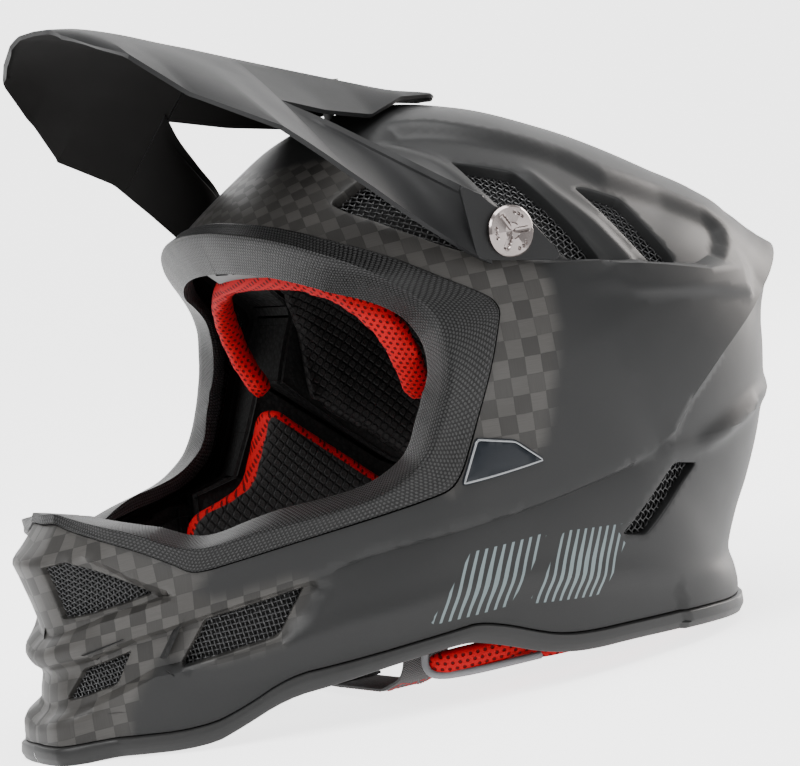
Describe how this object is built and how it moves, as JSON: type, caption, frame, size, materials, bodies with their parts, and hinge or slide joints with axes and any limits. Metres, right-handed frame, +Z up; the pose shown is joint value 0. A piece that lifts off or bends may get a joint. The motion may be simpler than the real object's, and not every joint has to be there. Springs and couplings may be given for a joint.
{
  "type": "downhill bike helmet",
  "caption": "Full face downhill bike helmet with chin bar, wide eye port, tilting visor on two side screws, vented shell, foam liner, pads and buckled chin strap.",
  "frame": {"origin": "centre of the bounding box at its lowest level, on the surface that the helmet stands on", "axes": "+X to the wearer's left, +Y to the rear, +Z up; the helmet stands on the chin and the rear of its base trim"},
  "size_m": [0.2424, 0.3593, 0.2891],
  "materials": {
    "shell_composite": "matt clear coat over woven composite and matt dark paint",
    "visor_plastic": "matt",
    "trim_rubber": "fine raised texture",
    "mesh_wire": "black wire mesh",
    "foam": "moulded foam beads",
    "pad_fabric": "black quilted face with red open mesh edges",
    "neck_fabric": "red open mesh with grey binding",
    "emblem": "satin",
    "screw_metal": "polished, faceted",
    "brass": "machined",
    "steel": "bright",
    "webbing": "woven webbing",
    "hard_plastic": "moulded"
  },
  "bodies": {
    "root": {"outer_shell": "shell_composite", "eps_liner": "foam", "chin_bar_foam": "foam", "eye_port_trim": "trim_rubber", "base_trim": "trim_rubber", "brow_vent_frame": "hard_plastic", "brow_pad": "pad_fabric", "crown_pad": "pad_fabric", "neck_roll": "neck_fabric", "chin_upper_mesh_left": "mesh_wire", "chin_upper_mesh_right": "mesh_wire", "chin_lower_mesh_left": "mesh_wire", "chin_lower_mesh_right": "mesh_wire", "chin_side_mesh_left": "mesh_wire", "chin_side_mesh_right": "mesh_wire", "brow_mesh_left": "mesh_wire", "brow_mesh_right": "mesh_wire", "crown_front_mesh_left": "mesh_wire", "crown_front_mesh_right": "mesh_wire", "crown_rear_mesh_left": "mesh_wire", "crown_rear_mesh_right": "mesh_wire", "rear_side_mesh_left": "mesh_wire", "rear_side_mesh_right": "mesh_wire", "emblem_plate_left": "emblem", "emblem_plate_right": "emblem", "cheek_pad_snaps_left": "hard_plastic", "cheek_pad_snaps_right": "hard_plastic", "visor_spacer_left": "hard_plastic", "visor_spacer_right": "hard_plastic", "visor_insert_left": "brass", "visor_insert_right": "brass", "strap_anchor_left": "steel", "strap_anchor_right": "steel", "visor_insert_centre": "brass"},
    "visor": {"visor": "visor_plastic"},
    "visor_screw_left": {"visor_screw_left": "screw_metal"},
    "visor_screw_right": {"visor_screw_right": "screw_metal"},
    "visor_screw_centre": {"visor_screw_centre": "screw_metal"},
    "chin_strap": {"chin_strap_long": "webbing", "chin_strap_short": "webbing", "strap_hanger_left": "steel", "strap_hanger_right": "steel", "strap_snap": "hard_plastic"},
    "d_rings": {"d_rings": "steel"},
    "cheek_pad_left": {"cheek_pad_left": "pad_fabric"},
    "cheek_pad_right": {"cheek_pad_right": "pad_fabric"}
  },
  "joints": [
    {"name": "visor_tilt", "type": "hinge", "parent": "root", "child": "visor", "pos_m": [0, 0.00676, 0.18071], "axis": [1, 0, 0], "range_deg": [0, 10]},
    {"name": "screw_left_turn", "type": "hinge", "parent": "root", "child": "visor_screw_left", "pos_m": [0, 0.00676, 0.18071], "axis": [1, 0, 0], "continuous": true},
    {"name": "screw_right_turn", "type": "hinge", "parent": "root", "child": "visor_screw_right", "pos_m": [0, 0.00676, 0.18071], "axis": [-1, 0, 0], "continuous": true},
    {"name": "screw_centre_turn", "type": "hinge", "parent": "root", "child": "visor_screw_centre", "pos_m": [0, -0.00464, 0.23346], "axis": [0, 0.0209, 0.9998], "continuous": true},
    {"name": "strap_swing", "type": "hinge", "parent": "root", "child": "chin_strap", "pos_m": [0, -0.04319, 0.06423], "axis": [1, 0, 0], "range_deg": [-12, 5]},
    {"name": "d_ring_swing", "type": "hinge", "parent": "chin_strap", "child": "d_rings", "pos_m": [-0.05, -0.04434, 0.00935], "axis": [0, 0.9998, -0.0209], "range_deg": [-5, 5]},
    {"name": "cheek_pad_left_pull", "type": "slide", "parent": "root", "child": "cheek_pad_left", "axis": [-1, 0, 0], "range_m": [0, 0.012]},
    {"name": "cheek_pad_right_pull", "type": "slide", "parent": "root", "child": "cheek_pad_right", "axis": [1, 0, 0], "range_m": [0, 0.012]}
  ]
}
